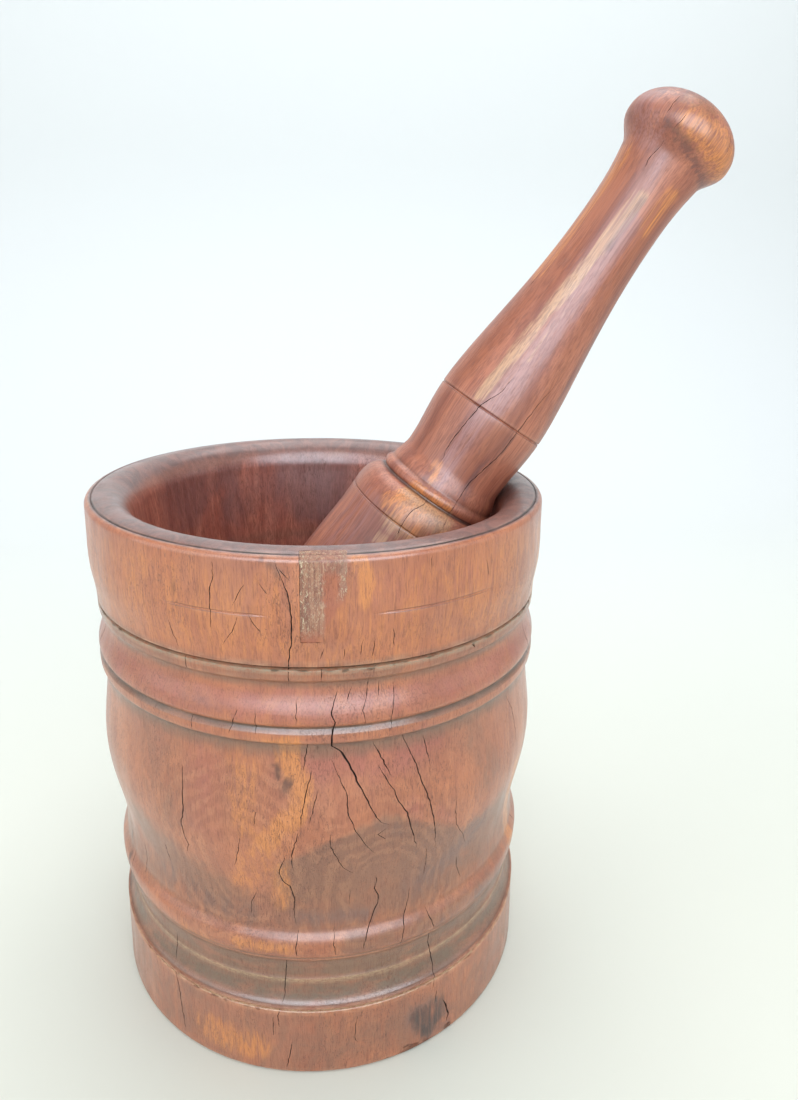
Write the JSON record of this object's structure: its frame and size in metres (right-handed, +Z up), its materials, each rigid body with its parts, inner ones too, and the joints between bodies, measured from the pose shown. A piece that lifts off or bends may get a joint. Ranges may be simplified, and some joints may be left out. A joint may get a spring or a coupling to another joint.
{
  "type": "mortar and pestle",
  "caption": "Tall turned wooden mortar with a banded, waisted body and a rolled lip, and a long knobbed wooden pestle that leans in its mouth and lifts out.",
  "frame": {"origin": "centre of the mortar's flat foot, on its turning axis", "axes": "+Z up along the mortar's turning axis, out of the mouth; +X towards the side of the lip that the pestle leans on; -Y towards the repair in the rim"},
  "size_m": [0.2685, 0.2002, 0.3945],
  "materials": {
    "mortar_wood": "waxed reddish-brown hardwood with dark drying cracks, satin",
    "patch_wood": "rough, dull and slightly grey, with pale flecks along one edge",
    "pestle_wood": "polished red-brown hardwood with lengthwise stripes, glossy"
  },
  "bodies": {
    "mortar": {"mortar": "mortar_wood", "rim_patch": "patch_wood"},
    "pestle": {"pestle": "pestle_wood"}
  },
  "joints": [
    {"name": "pestle_lift", "type": "slide", "parent": "mortar", "child": "pestle", "axis": [0, 0, 1], "range_m": [0, 0.2]}
  ]
}
